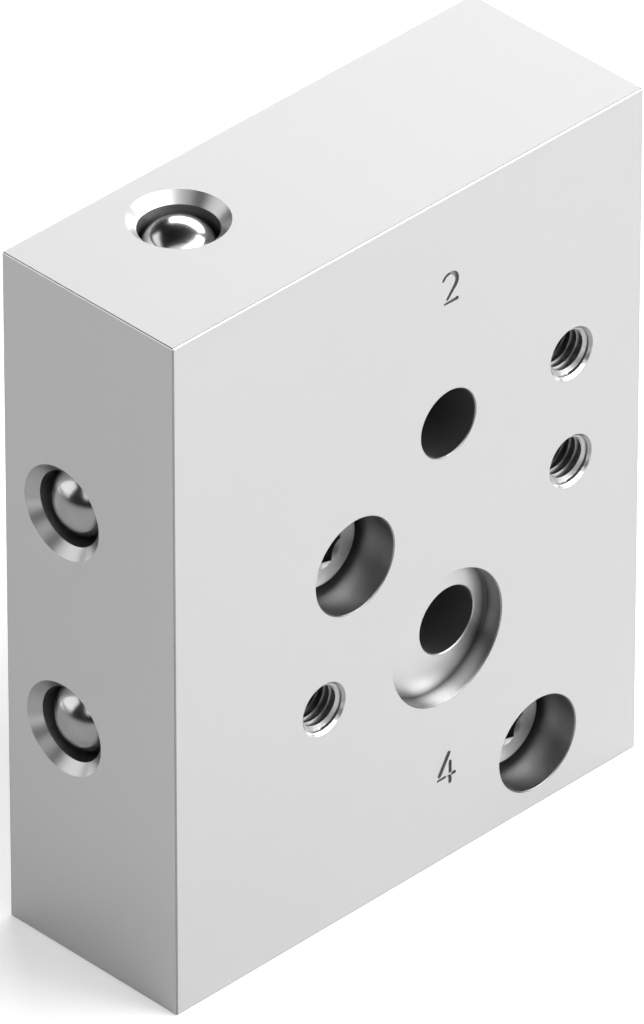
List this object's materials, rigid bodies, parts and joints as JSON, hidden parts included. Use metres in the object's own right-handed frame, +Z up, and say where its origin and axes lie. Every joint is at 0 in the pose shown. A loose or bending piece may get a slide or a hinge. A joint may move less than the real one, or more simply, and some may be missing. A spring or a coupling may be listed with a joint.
{
  "type": "valve mounting plate",
  "caption": "Aluminium plate that carries a solenoid valve and turns its port and screw pattern a quarter turn, with ball-plugged channels, cap screws and O-ring seals.",
  "frame": {"origin": "middle of the block's bottom face, on which it stands upright as in the picture", "axes": "-Y out of the front face that the valve bolts to, +Y out of the back face that meets the actuator, +Z up along the block's height, +X to the right seen from the front"},
  "size_m": [0.06, 0.0292, 0.074],
  "materials": {
    "anodised_aluminium": "satin clear anodised",
    "chromed_ball": "polished",
    "zinc_plated_steel": "zinc plated, satin",
    "seal_rubber": "matt black"
  },
  "bodies": {
    "root": {"plate_body": "anodised_aluminium", "plug_ball_left_upper": "chromed_ball", "plug_ball_left_lower": "chromed_ball", "plug_ball_top": "chromed_ball", "plug_ball_right": "chromed_ball", "mounting_screw_upper": "zinc_plated_steel", "mounting_screw_lower": "zinc_plated_steel", "base_seal_left": "seal_rubber", "base_seal_right": "seal_rubber"}
  },
  "joints": []
}
